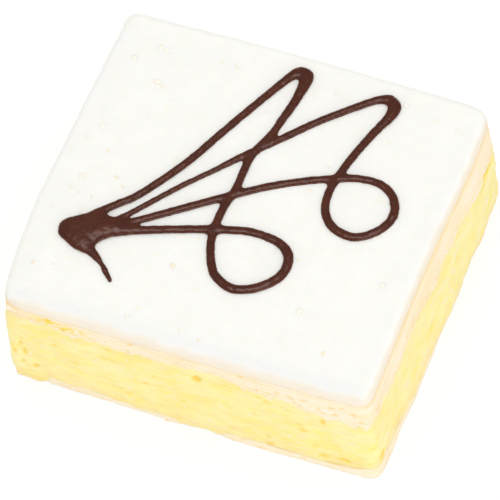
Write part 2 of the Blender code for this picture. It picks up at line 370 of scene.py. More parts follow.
# Pits that stand out on the shown faces: side, place along it, height, width, tall, depth.
PITS = (
    ("front", -35.2, 14.7, 0.5, 1.0, 0.7), ("front", -34.5, 11.6, 0.6, 1.3, 0.9),
    ("front", -37.0, 10.8, 0.5, 1.5, 0.7), ("front", -35.3, 8.0, 0.55, 0.8, 0.8),
    ("front", -32.6, 7.6, 0.7, 0.8, 0.9), ("front", 3.0, 21.5, 1.1, 1.2, 1.1),
    ("front", -8.5, 13.3, 1.1, 0.5, 0.6), ("front", -6.6, 17.5, 0.7, 0.5, 0.4),
    ("front", 24.7, 13.4, 1.3, 0.9, 0.6), ("front", 29.4, 19.0, 0.6, 1.3, 0.8),
    ("front", 33.0, 5.2, 1.6, 0.9, 0.8), ("front", 28.7, 4.7, 1.5, 0.7, 0.7),
    ("front", 17.3, 3.4, 0.9, 0.8, 0.7), ("front", 27.2, 8.6, 0.8, 0.6, 0.4),
    ("front", -23.7, 13.6, 1.2, 0.5, 0.4), ("front", 16.9, 6.3, 0.6, 0.8, 0.5),
    ("right", -33.0, 6.9, 1.2, 1.1, 0.9), ("right", -14.8, 15.5, 0.9, 0.8, 0.5),
    ("right", 28.5, 17.2, 2.2, 1.0, 0.9), ("right", -8.0, 20.0, 1.6, 0.6, 0.8),
)


def column_at(side, place):
    """The outline's column nearest to a place along the front or right face."""
    axis, facing = {"front": (0, (0, -1)), "right": (1, (1, 0))}[side]
    on_face = np.flatnonzero(OUT @ np.array(facing) > 0.7)
    return on_face[np.argmin(np.abs(EDGE[on_face, axis] - place))]


def round_gap(first, second):
    """Distance round the outline, the short way."""
    length = ROUND[-1] + ROUND[1]
    return (first - second + length / 2) % length - length / 2


def pit_depths(points, heights_low, heights_high):
    """How deep the cut face is pitted at each point: the named pits and many small ones."""
    draw = np.random.default_rng(14)
    pits = [(ROUND[column_at(side, place)], *sizes) for side, place, *sizes in PITS]
    for _ in range(SMALL_PITS):
        where = draw.uniform(0, ROUND[-1])
        column = np.searchsorted(ROUND, where) % COLUMNS
        low, high = heights_low[column], heights_high[column]
        level = low + (high - low) * draw.uniform(0.03, 1.0) ** 0.8
        width = draw.uniform(0.35, 1.3)
        pits.append((where, level, width, width * draw.uniform(0.25, 0.6),
                     width * draw.uniform(0.1, 0.4)))
    ragged = 0.45 * rough(points, (0.9, 0.9, 0.6), 2, 47.0)
    depth = np.zeros(points.shape[:-1])
    for where, level, width, tall, deep in pits:
        across = round_gap(ROUND, where) / width
        near = np.flatnonzero(np.abs(across) < 1.7)
        reach = np.hypot(across[near], (points[:, near, 2] - level) / tall) + ragged[:, near]
        depth[:, near] = np.maximum(depth[:, near], deep * np.clip(1.15 - reach, 0, 0.8) / 0.8)
    return depth


lip_line = base_top_line + (0.12 - base_top_line) * np.clip(drape, 0, 1) ** 0.6 - 0.1
lip_line = np.maximum(lip_line, 0.08)
levels = np.linspace(0.0, 1.0, CUSTARD_ROWS)[:, None]
custard_rows = np.array([ring(lip_line + (underside_line + 0.5 - lip_line) * level[0])
                         for level in levels])
heights = custard_rows[..., 2]
lumps = rough(custard_rows, (7, 7, 5), 3, 53.0)
slanted = custard_rows.copy()
slanted[..., 2] += 0.18 * (ROUND % 60.0)
smears = rough(slanted, (4.2, 4.2, 1.5), 3, 59.0)
drags = rough(slanted, (1.8, 1.8, 0.8), 3, 61.0)
pitted = pit_depths(custard_rows, lip_line, underside_line)
pitted *= np.clip((underside_line - heights) / 0.8, 0, 1)
swell = 0.1 + 0.34 * lumps + 0.17 * smears + 0.06 * drags
swell += 0.35 * np.exp(-((ROUND - ROUND[column_at("right", 6)]) / 6) ** 2) * np.exp(-heights / 6)
swell += 0.35 * np.exp(-((ROUND - ROUND[column_at("right", -12)]) / 5) ** 2) * np.exp(-heights / 6)
# Round in at the lip and under the pastry above.
from_lip = heights - lip_line
from_top = underside_line + 0.5 - heights
swell -= 0.4 * drape * np.clip(1 - heights / 5.0, 0, 1)
swell -= (0.05 + 0.15 * drape) * np.clip(1 - from_lip / 0.8, 0, 1) ** 2
swell -= 0.2 * np.clip(1 - from_top / 1.0, 0, 1) ** 2
custard_rows = push(custard_rows, swell - pitted * PIT_DEPTH)
custard_skin = np.concatenate([
    [ring(lip_line, 6.0), ring(lip_line, 2.2)], custard_rows,
    [ring(underside_line + 1.4, 2.4), ring(underside_line + 1.4, 6.0)]])


def row_marks(values, before, after):
    """Values of the side rows with plain rows added for the hidden ends."""
    return np.concatenate([np.zeros((before, COLUMNS)), values, np.zeros((after, COLUMNS))])


custard = skin("custard_block", custard_skin, {
    "pit": row_marks(np.clip(pitted / 0.7, 0, 1), 2, 2),
    "low": row_marks(np.clip(1 - from_lip / 5.0, 0, 1), 2, 2),
})

look = Finish("set custard", Subsurface_Weight=0.2, Subsurface_Scale=1.0,
              Subsurface_Radius=(2.4 * MM, 1.7 * MM, 0.5 * MM))
streaks = look.grain((4.2, 4.2, 2.3), 4.0, shift=3.0, low=0.44, high=0.6)
clouds = look.grain((8.0, 8.0, 4.0), 3.0, shift=8.0, low=0.4, high=0.6)
dabs = look.grain((1.8, 1.8, 1.2), 2.0, shift=13.0, low=0.62, high=0.7)
dull = look.grain((3.4, 3.4, 1.2), 4.0, shift=21.0, low=0.5, high=0.68)
colour = look.mix(clouds, rgb(255, 239, 160), rgb(255, 236, 142))
colour = look.mix(streaks * 0.65, colour, rgb(255, 241, 176))
colour = look.mix(dull * 0.6, colour, rgb(255, 230, 158))
colour = look.mix(look.mark("low") * (dull * 0.6 + 0.4), colour, rgb(254, 223, 152))
colour = look.mix(dabs * 0.75, colour, rgb(255, 235, 208))
colour = look.mix(look.mark("pit") * 0.95, colour, rgb(255, 217, 84))
wet = look.grain((2.4, 2.4, 1.1), 4.0, shift=17.0)
custard.data.materials.append(look.finish(
    Base_Color=colour, Normal=look.bump(wet, 0.25, 0.45), Roughness=0.36 + clouds * 0.16))
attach(custard, "root")
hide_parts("custard")


# ------------------------------------------------------------------------------- upper pastry
# The lid of puff pastry: leaf upon leaf of thin dough, crisp and crumbling where it was cut,
# its ragged underside pressed into the custard.

LID_ROWS = 46
LID_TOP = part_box("top_pastry")[1].z / MM
lid_top_line = LID_TOP + 0.25 + 0.15 * rough(np.array([ring(0.0)]), (5, 5, 1), 2, 67.0)[0]
levels = np.linspace(0.0, 1.0, LID_ROWS)[:, None]
lid_rows = np.array([ring(underside_line + (lid_top_line - underside_line) * level[0])
                     for level in levels])
heights = lid_rows[..., 2]
waves = rough(lid_rows, (9, 9, 60), 2, 71.0) * 0.5
bent = lid_rows.copy()
bent[..., 2] += waves
leafing = rough(bent, (7.0, 7.0, 0.8), 2, 73.0)
crumble = rough(bent, (1.4, 1.4, 0.8), 3, 79.0)
from_edge = heights - underside_line
crumbly = np.clip(1 - from_edge / 4.0, 0, 1)
holes = np.clip(rough(lid_rows, (1.4, 1.4, 0.9), 2, 83.0) * 3.4 - 0.75, 0, 1)
holes *= crumbly
# Browned pits that stand out: side, place along it, height, size.
LID_PITS = (
    ("front", 25.6, 25.4, 0.75), ("front", 28.7, 23.6, 0.55), ("front", 31.2, 25.5, 0.5),
    ("front", 31.9, 23.0, 0.7), ("front", 36.0, 24.8, 0.6), ("front", 37.4, 22.4, 0.5),
    ("front", 33.4, 26.4, 0.5), ("front", 12.3, 28.0, 0.6), ("front", 0.3, 25.4, 0.5),
    ("front", 5.6, 25.9, 0.4), ("front", 8.4, 26.2, 0.5), ("front", 15.4, 24.2, 0.5),
    ("front", 17.8, 24.4, 0.6), ("front", 20.1, 25.9, 0.45), ("front", -11.1, 27.6, 0.5),
    ("right", -31.1, 22.9, 0.7), ("right", -29.5, 23.4, 0.5), ("right", -26.9, 22.2, 0.5),
    ("right", 24.5, 18.6, 0.6), ("right", 16.0, 19.2, 0.5), ("right", -4.0, 20.6, 0.5),
)
for side, place, level, size in LID_PITS:
    away = np.hypot(round_gap(ROUND, ROUND[column_at(side, place)]) / size,
                    (heights - level) / size / 0.8) + 0.5 * crumble
    holes = np.maximum(holes, np.clip(1.3 - away, 0, 1))
holes *= np.clip(from_edge / 0.9 - 0.2, 0, 1)
# Seams between the leaves: how far below the lid's top and how strong, the first one golden.
SEAMS = ((0.7, 1.0), (2.3, 0.5), (3.5, 0.7), (4.9, 0.5), (6.2, 0.6), (7.6, 0.5), (9.0, 0.6))
patchy = np.clip(rough(lid_rows, (7, 7, 2.5), 3, 87.0) * 1.3 + 0.75, 0, 1)
seam = np.zeros(heights.shape)
for below, strength in SEAMS:
    away = (lid_top_line - bent[..., 2] - below) / 0.34
    seam = np.maximum(seam, strength * np.exp(-away ** 2))
seam *= patchy * (0.65 + 0.35 * np.clip(OUT[:, 0], 0, 1))
# On the right face the top seam is broad and golden all along.
right_seam = np.exp(-((lid_top_line - heights - 0.5) / 0.6) ** 2) * np.clip(OUT[:, 0], 0, 1)
seam = np.maximum(seam, 0.85 * right_seam)
# Custard that oozed into a torn part of the lid, at the front near the left corner.
from_tear = lid_rows[..., 0] + 25.5
torn_height = (heights - 26.5 + 0.1 * from_tear) / 1.35
torn = np.exp(-(from_tear / 5.8) ** 4 - torn_height ** 4) * np.clip(-OUT[:, 1], 0, 1)
ooze = torn * np.clip(rough(lid_rows, (1.5, 1.5, 1.1), 2, 91.0) * 4 + 1.3, 0, 1)
# The left end of the front is baked a little darker.
from_corner = round_gap(ROUND, ROUND[column_at("front", -37)])
seam = np.maximum(seam, 0.75 * np.exp(-(from_corner / 4.5) ** 2) * np.clip(from_edge, 0, 1))
near_top = np.clip(1 - (lid_top_line - heights) / 0.7, 0, 1)
lid_out = 0.08 + 0.1 * leafing + 0.07 * crumble * (0.5 + crumbly) - 0.35 * holes
lid_out += ooze * (0.4 * crumble + 0.05) - 0.07 * seam
lid_out = lid_out * (1 - near_top) + 0.02
lid_out -= 0.08 * np.clip(1 - from_edge / 0.5, 0, 1) ** 2
lid_rows = push(lid_rows, lid_out)
lid_skin = np.concatenate([
    [ring(underside_line + 1.2, 5.0), ring(underside_line + 0.7, 2.0)], lid_rows,
    [ring(lid_top_line + 0.1, 1.5), ring(lid_top_line + 0.1, 6.0)]])
browned = np.clip(holes * 1.1 + np.clip(crumble * 1.6 - 0.75, 0, 0.5) * crumbly, 0, 1)
lid = skin("upper_pastry_sheet", lid_skin, {
    "browned": row_marks(browned, 2, 2),
    "seam": row_marks(seam, 2, 2),
    "yolky": row_marks(ooze, 2, 2),
})
lid.data.materials.append(pastry_finish(
    "golden baked pastry", rgb(255, 243, 222), rgb(255, 239, 208), rgb(255, 224, 162),
    rgb(255, 220, 152)))
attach(lid, "root")
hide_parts("top_pastry")


def plain_copy(name, source):
    """The evaluated object as a plain mesh object, in place of the source."""
    shown = source.evaluated_get(bpy.context.evaluated_depsgraph_get())
    mesh = bpy.data.meshes.new_from_object(shown)
    mesh.name = name
    bpy.data.objects.remove(source)
    piece = bpy.data.objects.new(name, mesh)
    bpy.context.collection.objects.link(piece)
    return piece


def grow_tree(name, sizes):
    """A geometry tree with named number inputs: the tree, its mesh wire and its inputs."""
    tree = bpy.data.node_groups.new(name, "GeometryNodeTree")
    tree.interface.new_socket("Geometry", in_out="INPUT", socket_type="NodeSocketGeometry")
    for title in sizes:
        tree.interface.new_socket(title, in_out="INPUT", socket_type="NodeSocketFloat")
    tree.interface.new_socket("Geometry", in_out="OUTPUT", socket_type="NodeSocketGeometry")
    entry = tree.nodes.new("NodeGroupInput")
    wires = {title: Wire(tree, entry.outputs[title]) for title in sizes}
    return tree, Wire(tree, entry.outputs["Geometry"]), wires


def close_tree(tree, grown, material):
    """Ends a tree in plain geometry with its material."""
    real = add(tree, "GeometryNodeRealizeInstances", {}, {"Geometry": grown})
    done = add(tree, "GeometryNodeSetMaterial", {}, {"Geometry": real})
    done.socket.node.inputs["Material"].default_value = material
    leave = tree.nodes.new("NodeGroupOutput")
    tree.links.new(done.socket, leave.inputs[0])


def grow(name, tree, mesh, values):
    """Runs a tree on a mesh with the given input values and keeps the result as a mesh."""
    source = bpy.data.objects.new(name + " source", mesh)
    bpy.context.collection.objects.link(source)
    step = source.modifiers.new("grow", "NODES")
    step.node_group = tree
    for item in tree.interface.items_tree:
        if item.in_out == "INPUT" and item.name in values:
            step[item.identifier] = values[item.name]
    return plain_copy(name, source)


def random_value(tree, low, high, seed, kind="FLOAT"):
    """A seeded random number, or vector, for each point."""
    node = tree.nodes.new("FunctionNodeRandomValue")
    node.data_type = kind
    slots = [slot for slot in node.inputs if slot.enabled]
    feed(tree, slots[0], low)
    feed(tree, slots[1], high)
    slots[-1].default_value = seed
    return Wire(tree, [slot for slot in node.outputs if slot.enabled][0])


def leaf_tree(material, count):
    """Thin crisp leaves laid along a cut edge: short bent slivers that stick out a little."""
    sizes = ("Length", "Depth", "Thickness", "Rise", "Crumple")
    tree, path, size = grow_tree("pastry leaves", sizes)
    curve = add(tree, "GeometryNodeMeshToCurve", {}, {"Mesh": path})
    dotted = tree.nodes.new("GeometryNodeCurveToPoints")
    dotted.mode = "COUNT"
    tree.links.new(curve.socket, dotted.inputs["Curve"])
    dotted.inputs["Count"].default_value = count
    share = random_value(tree, 0.02, 0.98, 5)
    reach = add(tree, "GeometryNodeInputNamedAttribute", {"data_type": "FLOAT"}, {"Name": "room"})
    open_run = add(tree, "GeometryNodeInputNamedAttribute", {"data_type": "FLOAT"},
                   {"Name": "straight"})
    lifted = add(tree, "ShaderNodeCombineXYZ", {}, {"Z": reach * share * size["Rise"]})
    spots = add(tree, "GeometryNodeSetPosition", {},
                {"Geometry": Wire(tree, dotted.outputs["Points"]), "Offset": lifted})
    leaf = add(tree, "GeometryNodeMeshCube", {},
               {"Size": (1.0, 1.0, 1.0), "Vertices X": 7, "Vertices Y": 3, "Vertices Z": 2})
    turned = add(tree, "FunctionNodeAlignRotationToVector", {"axis": "X"},
                 {"Vector": Wire(tree, dotted.outputs["Tangent"])})
    tilt = random_value(tree, (-0.09, -0.035, -0.02), (0.09, 0.035, 0.02), 8, "FLOAT_VECTOR")
    tilt = add(tree, "FunctionNodeEulerToRotation", {}, {"Euler": tilt})
    turned = add(tree, "FunctionNodeRotateRotation", {"rotation_space": "LOCAL"},
                 {"Rotation": turned, "Rotate By": tilt})
    spread = add(tree, "ShaderNodeCombineXYZ", {}, {
        "X": size["Length"] * random_value(tree, 0.35, 1.0, 11) * open_run,
        "Y": size["Depth"] * random_value(tree, 0.75, 1.1, 12),
        "Z": size["Thickness"] * random_value(tree, 0.5, 1.3, 13)})
    leaves = add(tree, "GeometryNodeInstanceOnPoints", {},
                 {"Points": spots, "Instance": leaf, "Rotation": turned, "Scale": spread})
    real = add(tree, "GeometryNodeRealizeInstances", {}, {"Geometry": leaves})
    here = add(tree, "GeometryNodeInputPosition")
    ripple = add(tree, "ShaderNodeTexNoise", {},
                 {"Vector": here, "Scale": 420.0, "Detail": 2.0}, "Color")
    ripple = add(tree, "ShaderNodeVectorMath", {"operation": "SUBTRACT"},
                 {0: ripple, 1: (0.5, 0.5, 0.5)})
    ripple = add(tree, "ShaderNodeVectorMath", {"operation": "SCALE"},
                 {0: ripple, "Scale": size["Crumple"]})
    bent_leaves = add(tree, "GeometryNodeSetPosition", {}, {"Geometry": real, "Offset": ripple})
    close_tree(tree, bent_leaves, material)
    return tree


def edge_path(name, low_line, high_line, inset):
    """A closed path round the slice at the low line, that knows the room up to the high one."""
    mesh = bpy.data.meshes.new(name)
    points = ring(low_line, inset) * MM
    edges = [(index, (index + 1) % COLUMNS) for index in range(COLUMNS)]
    mesh.from_pydata(points.tolist(), edges, [])
    room = mesh.attributes.new("room", "FLOAT", "POINT")
    room.data.foreach_set("value", np.broadcast_to(high_line - low_line, COLUMNS) * MM)
    turning = np.sum(np.roll(OUT, 10, axis=0) * np.roll(OUT, -10, axis=0), axis=1)
    straight = mesh.attributes.new("straight", "FLOAT", "POINT")
    whole = 1 - torn.max(axis=0)
    straight.data.foreach_set("value", np.clip((turning - 0.93) / 0.06 * whole, 0.05, 1.0))
    return mesh


LID_LEAVES = 200
leaf_depth = 1.1
# The leaves keep to a smoother line than the ragged underside.
nearby = np.arange(-16, 17)
leaf_line = np.mean([np.roll(underside_line, shift) for shift in nearby], axis=0) + 0.9
leaves = grow(
    "upper_pastry_leaves",
    leaf_tree(pastry_finish("crisp pastry leaves", rgb(255, 246, 232), rgb(255, 242, 218),
                            rgb(255, 234, 190), rgb(255, 222, 156)), LID_LEAVES),
    edge_path("lid edge", leaf_line, lid_top_line - 0.9, leaf_depth / 2 - 0.02),
    {"Length": 9.0 * MM, "Depth": leaf_depth * MM, "Thickness": 0.18 * MM, "Rise": 1.0,
     "Crumple": 0.16 * MM})
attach(leaves, "root")

BASE_LEAVES = 110
base_leaves = grow(
    "lower_pastry_leaves",
    leaf_tree(base_pastry.data.materials[0], BASE_LEAVES),
    edge_path("base edge", np.full(COLUMNS, 0.25), base_top_line - 0.2,
              leaf_depth / 2 + 0.1 + drape * 0.8 + edge_in[0]),
    {"Length": 6.5 * MM, "Depth": leaf_depth * MM, "Thickness": 0.14 * MM, "Rise": 1.0,
     "Crumple": 0.22 * MM})
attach(base_leaves, "root")


# -------------------------------------------------------------------------------------- icing
# White icing poured over the lid before the slice was cut: nearly flat, faintly pebbled, its
# rim rolled over and thin enough there for the pastry to show through.

ICING_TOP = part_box("icing")[1].z / MM
RIM = 1.55
front_droop = np.clip(-OUT[:, 1], 0, 1) * 0.32 + np.clip(-OUT[:, 0], 0, 1) * 0.2
rim_wave = rough(np.array([ring(0.0)]), (7, 7, 1), 2, 89.0)[0]
foot_wave = rough(np.array([ring(0.0)]), (3.2, 3.2, 1), 3, 97.0)[0]
foot_line = lid_top_line - 0.1 - 0.3 * np.clip(foot_wave, -0.5, 1)


def icing_ring(inset, drop):
    """A ring of the icing's surface below its full height."""
    return ring(ICING_TOP - drop, inset)


icing_rows = [ring(LID_TOP + 0.2, 5.0), ring(LID_TOP + 0.1, 1.6), ring(foot_line, 0.06),
              ring(foot_line + 0.1, -0.05)]
insets = [0.0] * len(icing_rows)
for angle in np.radians((8, 20, 32, 44, 56, 68, 79, 90)):
    insets.append(RIM * (1 - math.cos(angle)))
    inset = RIM * (1 - math.cos(angle)) - 0.05 - 0.08 * rim_wave * math.sin(angle)
    roll_drop = (ICING_TOP - foot_line - 0.15) * (1 - math.sin(angle))
    droop = front_droop * (1 - inset / 6.0) ** 2 * math.sin(angle)
    icing_rows.append(icing_ring(inset, roll_drop + droop))
for inset in list(np.arange(2.0, 7.0, 0.36)) + list(np.arange(7.0, 34.0, 0.62)):
    insets.append(inset)
    droop = front_droop * np.clip(1 - inset / 6.0, 0, 1) ** 2
    icing_rows.append(icing_ring(inset, droop))
icing_rows = np.array(icing_rows)
inner_part = icing_rows[12:]
shrink = np.linspace(0.0, 1.0, len(inner_part))[:, None, None] ** 1.15
inner_part[..., :2] = inner_part[:1, :, :2] * (1 - shrink * 0.985)
swells = 0.12 * rough(icing_rows, (17, 17, 9), 2, 101.0)
pebbles = 0.05 * rough(icing_rows, (2.6, 2.6, 2.6), 3, 103.0)
icing_rows[3:, :, 2] += (swells + pebbles)[3:]
# A narrow, cooler grey band just inside the front and left rims, 0 to 1: painted shade where the
# rolled rim slopes away from the light.
insets = np.array(insets)[:, None] + np.zeros(COLUMNS)
facing = np.clip(-OUT[:, 1] + 0.5 * np.clip(-OUT[:, 0], 0, 1) + 0.25 * OUT[:, 0], 0, 1)
rim_painted_shade = np.exp(-((insets - 2.3) / 1.9) ** 2) * facing
# Where the rim is thin enough to look beige: towards the front and, less, the right.
beige = insets * (1 + 0.7 * np.clip(OUT[:, 0], 0, 1))
beige += 2.4 * np.clip(OUT[:, 1], 0, 1) + 1.8 * np.clip(-OUT[:, 0], 0, 1)
icing = skin("icing_coat", icing_rows, {"rim_painted_shade": rim_painted_shade, "inset": beige})

look = Finish("white icing", Subsurface_Weight=0.25, Subsurface_Scale=1.0,
              Subsurface_Radius=(2.0 * MM, 1.7 * MM, 1.3 * MM))
height = look.axis("Z")
soft = look.grain((6.0, 6.0, 6.0), 3.0, shift=1.0, low=0.3, high=0.7)
mottle = look.grain((2.4, 2.4, 2.4), 3.0, shift=4.0, low=0.4, high=0.7)
tan = look.grain((3.4, 3.4, 3.4), 4.0, shift=6.0, low=0.6, high=0.74)
colour = look.mix(soft, rgb(252, 250, 242), rgb(254, 252, 245))
colour = look.mix(mottle * 0.3, colour, rgb(248, 247, 240))
# Painted shade: the narrow band inside the front and left rims turns cool grey.
colour = look.mix(look.mark("rim_painted_shade") * (soft * 0.3 + 0.6), colour, rgb(243, 243, 240))
colour = look.mix(tan * 0.5, colour, rgb(252, 246, 230))
rim_tint = look.span(look.mark("inset") + soft * 0.5, 2.3, 0.8)
colour = look.mix(rim_tint * 0.95, colour, rgb(244, 232, 214))
foot_tint = look.span(height + mottle * 0.3, ICING_TOP - 0.7, ICING_TOP - 1.5)
colour = look.mix(foot_tint * 0.9, colour, rgb(253, 231, 196))
pebble = look.grain((1.3, 1.3, 1.3), 4.0, shift=7.0)
icing.data.materials.append(look.finish(
    Base_Color=colour, Normal=look.bump(pebble, 0.12, 0.5), Roughness=0.5 + soft * 0.12))
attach(icing, "root")
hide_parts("icing")


# ------------------------------------------------------------------------------- icing flecks
# Pastry crumbs that were caught in the icing before it set: flat tan flakes, nearly covered,
# in loose groups near the back, the left side and the front.

# x, y, size
FLECKS = (
    (-28.6, 28.5, 1.5), (-27.0, 28.0, 1.2), (-26.6, 29.2, 0.9), (-15.6, 28.9, 1.1),
    (-12.6, 29.2, 0.9), (-12.0, 28.4, 0.8), (-26.3, 20.8, 1.9), (-24.8, 19.9, 1.0),
    (-32.8, 24.6, 1.3), (-33.0, 7.8, 1.5), (-34.9, 4.4, 0.9), (-37.3, 1.1, 0.8),
    (-30.0, 2.8, 0.8), (-30.1, -1.4, 0.9), (-33.0, -4.3, 1.4), (-26.2, -2.3, 1.0),
    (-24.2, -4.0, 0.9), (-34.0, -7.2, 0.7), (-31.9, -7.8, 0.7), (-29.2, -8.2, 0.9),
    (-36.0, -12.6, 0.8), (-30.2, -12.0, 1.0), (-8.2, -17.8, 1.2), (-9.8, -26.6, 0.7),
    (-11.2, -28.9, 1.1), (19.2, -19.7, 1.5), (27.0, -27.1, 1.0), (32.8, -9.1, 1.3),
    (15.0, -8.9, 0.9), (11.6, 6.6, 0.9), (-3.0, 20.9, 0.7), (8.7, 29.5, 1.0),
    (11.0, 28.6, 0.8), (23.0, 31.0, 1.2), (29.8, 29.2, 0.9), (34.8, 28.6, 1.0),
    (2.6, -32.0, 1.0), (-12.6, -31.3, 1.2), (-1.4, -31.0, 1.3), (22.6, 21.9, 0.6),
    (-22.4, 16.0, 0.7), (-13.4, 12.4, 0.5), (-25.4, 13.2, 0.6), (-31.0, -24.8, 0.6),
    (-34.8, -25.6, 1.0), (13.2, 12.9, 0.6), (-5.6, -10.6, 0.7), (33.6, 16.5, 0.6),
)


def fleck_tree(material):
    """One crumpled flat crumb on each point, as wide as the point's own size."""
    tree, spots, size = grow_tree("icing flecks", ("Flatness", "Crumple"))
    dots = add(tree, "GeometryNodeMeshToPoints", {}, {"Mesh": spots})
    wide = add(tree, "GeometryNodeInputNamedAttribute", {"data_type": "FLOAT"}, {"Name": "wide"})
    crumb = add(tree, "GeometryNodeMeshIcoSphere", {}, {"Radius": 0.5, "Subdivisions": 2})
    spin = random_value(tree, (-0.12, -0.12, 0.0), (0.12, 0.12, 6.28), 3, "FLOAT_VECTOR")
    spin = add(tree, "FunctionNodeEulerToRotation", {}, {"Euler": spin})
    spread = add(tree, "ShaderNodeCombineXYZ", {}, {
        "X": wide, "Y": wide * random_value(tree, 0.55, 0.95, 4),
        "Z": wide * size["Flatness"]})
    crumbs = add(tree, "GeometryNodeInstanceOnPoints", {},
                 {"Points": dots, "Instance": crumb, "Rotation": spin, "Scale": spread})
    real = add(tree, "GeometryNodeRealizeInstances", {}, {"Geometry": crumbs})
    here = add(tree, "GeometryNodeInputPosition")
    ripple = add(tree, "ShaderNodeTexNoise", {},
                 {"Vector": here, "Scale": 1500.0, "Detail": 1.0}, "Color")
    ripple = add(tree, "ShaderNodeVectorMath", {"operation": "SUBTRACT"},
                 {0: ripple, 1: (0.5, 0.5, 0.5)})
    ripple = add(tree, "ShaderNodeVectorMath", {"operation": "MULTIPLY"},
                 {0: ripple, 1: (1.0, 1.0, 0.15)})
    ripple = add(tree, "ShaderNodeVectorMath", {"operation": "SCALE"},
                 {0: ripple, "Scale": size["Crumple"]})
    crumpled = add(tree, "GeometryNodeSetPosition", {}, {"Geometry": real, "Offset": ripple})
    close_tree(tree, crumpled, material)
    return tree


def icing_height(x, y):
    """The icing's level at a place well inside its rim."""
    spot = np.array([[x, y, ICING_TOP]])
    return (ICING_TOP + 0.12 * rough(spot, (17, 17, 9), 2, 101.0)
            + 0.05 * rough(spot, (2.6, 2.6, 2.6), 3, 103.0))[0]


look = Finish("crumb in icing", Roughness=0.6)
tone = look.grain((1.0, 1.0, 1.0), 2.0, low=0.3, high=0.7)
sunk = look.grain((5.0, 5.0, 5.0), 1.0, shift=3.0, low=0.42, high=0.58)
colour = look.mix(tone, rgb(253, 237, 212), rgb(254, 245, 228))
colour = look.mix(sunk * 0.75, colour, rgb(254, 251, 242))
look.finish(Base_Color=colour)
fleck_mesh = bpy.data.meshes.new("fleck places")
fleck_mesh.from_pydata([(x * MM, y * MM, (icing_height(x, y) + 0.02) * MM)
                        for x, y, wide in FLECKS], [], [])
wide_marks = fleck_mesh.attributes.new("wide", "FLOAT", "POINT")
wide_marks.data.foreach_set("value", [wide * MM for x, y, wide in FLECKS])
flecks = grow("icing_flecks", fleck_tree(look.material), fleck_mesh,
              {"Flatness": 0.14, "Crumple": 0.6 * MM})
flecks.data.shade_smooth()
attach(flecks, "root")


# --------------------------------------------------------------------------- chocolate drizzle
# One line of melted dark chocolate from a fine nozzle: it pools at the left, peaks twice at
# the back and loops twice at the right. Where strokes cross they have run into each other.

STROKES = (
    ((-33.1, -17.0, 4.6), (-30.2, -16.3, 5.6), (-27.5, -15.1, 6.2), (-24.5, -13.8, 5.2),
     (-21.6, -12.8, 3.2), (-19.0, -12.4, 1.4)),
    ((-31.2, -17.2, 3.0), (-28.8, -18.1, 3.8), (-27.0, -18.8, 3.8), (-25.0, -19.7, 2.4),
     (-23.2, -20.8, 1.5), (-21.7, -21.9, 0.85), (-20.7, -22.9, 1.15), (-19.6, -24.0, 0.95),
     (-18.4, -25.2, 0.7)),
    ((-25.9, -19.0, 1.6), (-25.4, -17.6, 2.2), (-24.5, -16.1, 2.6), (-22.9, -14.7, 2.6),
     (-20.6, -13.6, 1.8)),
    ((-29.2, -14.4, 3.0), (-26.8, -11.3, 2.1), (-23.8, -8.2, 1.7), (-20.2, -4.5, 1.6),
     (-14.1, 4.9, 1.6), (-9.5, 14.2, 1.6), (-4.7, 23.7, 1.7), (-2.2, 28.4, 2.0),
     (-0.3, 31.4, 2.5), (1.4, 32.1, 2.6)),
    ((0.6, 32.1, 2.4), (2.0, 31.1, 2.9), (1.9, 27.8, 2.5), (1.4, 23.7, 2.0), (0.5, 19.6, 1.7),
     (-0.1, 16.6, 1.8), (-2.3, 10.0, 1.7), (-2.5, 2.8, 1.7), (-3.4, -3.3, 1.7),
     (-3.0, -10.0, 1.8), (-0.5, -16.1, 2.0), (2.2, -18.3, 2.2), (4.9, -19.1, 2.2),
     (7.8, -18.3, 2.2), (10.7, -16.4, 2.3), (12.9, -13.6, 2.3), (13.4, -10.7, 2.1)),
    ((13.1, -13.2, 2.1), (13.4, -10.7, 2.3), (12.5, -8.2, 2.3), (10.1, -6.5, 2.1),
     (6.7, -5.9, 2.0), (3.0, -6.0, 1.9), (-3.2, -7.6, 2.0), (-10.5, -9.9, 1.9),
     (-18.3, -12.7, 2.1), (-22.3, -14.2, 3.0)),
    ((-22.8, -11.9, 1.4), (-19.8, -8.4, 1.1), (-13.9, -1.2, 1.1), (-8.4, 4.8, 1.1),
     (-3.4, 10.4, 1.5), (1.5, 15.4, 1.6), (7.7, 22.0, 1.6), (14.2, 27.9, 1.7),
     (16.8, 30.0, 1.9), (19.1, 31.1, 2.5), (20.6, 30.9, 2.6)),
    ((19.4, 31.0, 2.3), (21.1, 29.9, 2.9), (20.8, 27.1, 2.5), (19.4, 23.7, 2.0),
     (17.1, 16.8, 1.8), (15.6, 10.2, 1.7), (15.4, 6.8, 1.8), (16.0, 3.5, 1.9),
     (18.0, 0.7, 2.0), (20.8, -0.6, 2.1), (23.7, -0.7, 2.1), (26.5, 0.9, 2.0),
     (28.7, 3.6, 2.0), (29.4, 6.7, 1.9), (28.5, 9.2, 1.8)),
    ((29.4, 5.7, 1.8), (29.0, 8.4, 1.9), (27.2, 10.9, 1.9), (24.3, 12.3, 1.9),
     (21.0, 12.3, 1.8), (17.9, 11.6, 1.8), (10.5, 8.6, 1.8), (3.0, 4.6, 1.8),
     (-3.6, 0.2, 1.8), (-10.1, -4.4, 1.8), (-17.3, -9.5, 1.5), (-21.4, -12.3, 1.9)),
)
STROKE_STEP = 0.35
# Once on the icing the line settles and runs a little wider than its stroke.
SETTLED = 1.08
RUN_OUT = 0.28


